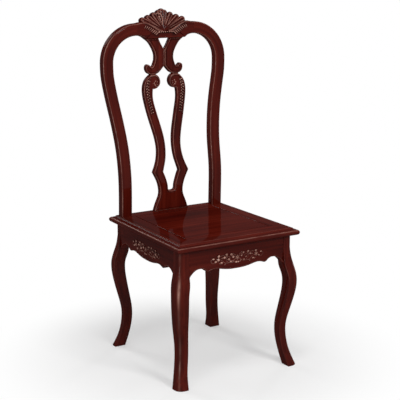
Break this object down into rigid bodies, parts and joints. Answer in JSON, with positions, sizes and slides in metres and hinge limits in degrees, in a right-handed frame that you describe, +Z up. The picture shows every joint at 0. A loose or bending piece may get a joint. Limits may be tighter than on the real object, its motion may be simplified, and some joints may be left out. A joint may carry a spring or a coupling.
{
  "type": "side chair",
  "caption": "Polished hardwood side chair with cabriole legs, scalloped aprons, a flat framed seat, a pierced lyre splat and a shell crest.",
  "frame": {"origin": "on the floor, under the middle of the chair's outer box", "axes": "+Z up, the front of the seat towards -Y, +X to the right seen from the front"},
  "size_m": [0.455, 0.4912, 1.1052],
  "materials": {
    "polished_hardwood": "dark red-brown stain under high-gloss lacquer",
    "plain_hardwood": "bare, planed",
    "screw_steel": "zinc plated"
  },
  "bodies": {
    "root": {"front_left_leg": "polished_hardwood", "front_right_leg": "polished_hardwood", "rear_left_leg": "polished_hardwood", "rear_right_leg": "polished_hardwood", "front_apron": "polished_hardwood", "back_apron": "polished_hardwood", "left_apron": "polished_hardwood", "right_apron": "polished_hardwood", "front_rail": "polished_hardwood", "back_rail": "polished_hardwood", "left_rail": "polished_hardwood", "right_rail": "polished_hardwood", "seat_panel": "polished_hardwood", "left_stile": "polished_hardwood", "right_stile": "polished_hardwood", "left_shoulder": "polished_hardwood", "right_shoulder": "polished_hardwood", "crest_rail": "polished_hardwood", "shell_crest": "polished_hardwood", "splat": "polished_hardwood", "left_scroll": "polished_hardwood", "right_scroll": "polished_hardwood", "front_left_block": "plain_hardwood", "front_right_block": "plain_hardwood", "rear_left_block": "plain_hardwood", "rear_right_block": "plain_hardwood", "front_batten": "plain_hardwood", "rear_batten": "plain_hardwood", "mitre_keys": "plain_hardwood", "frame_dowels": "plain_hardwood", "small_dowels": "plain_hardwood", "seat_screws": "screw_steel"}
  },
  "joints": []
}
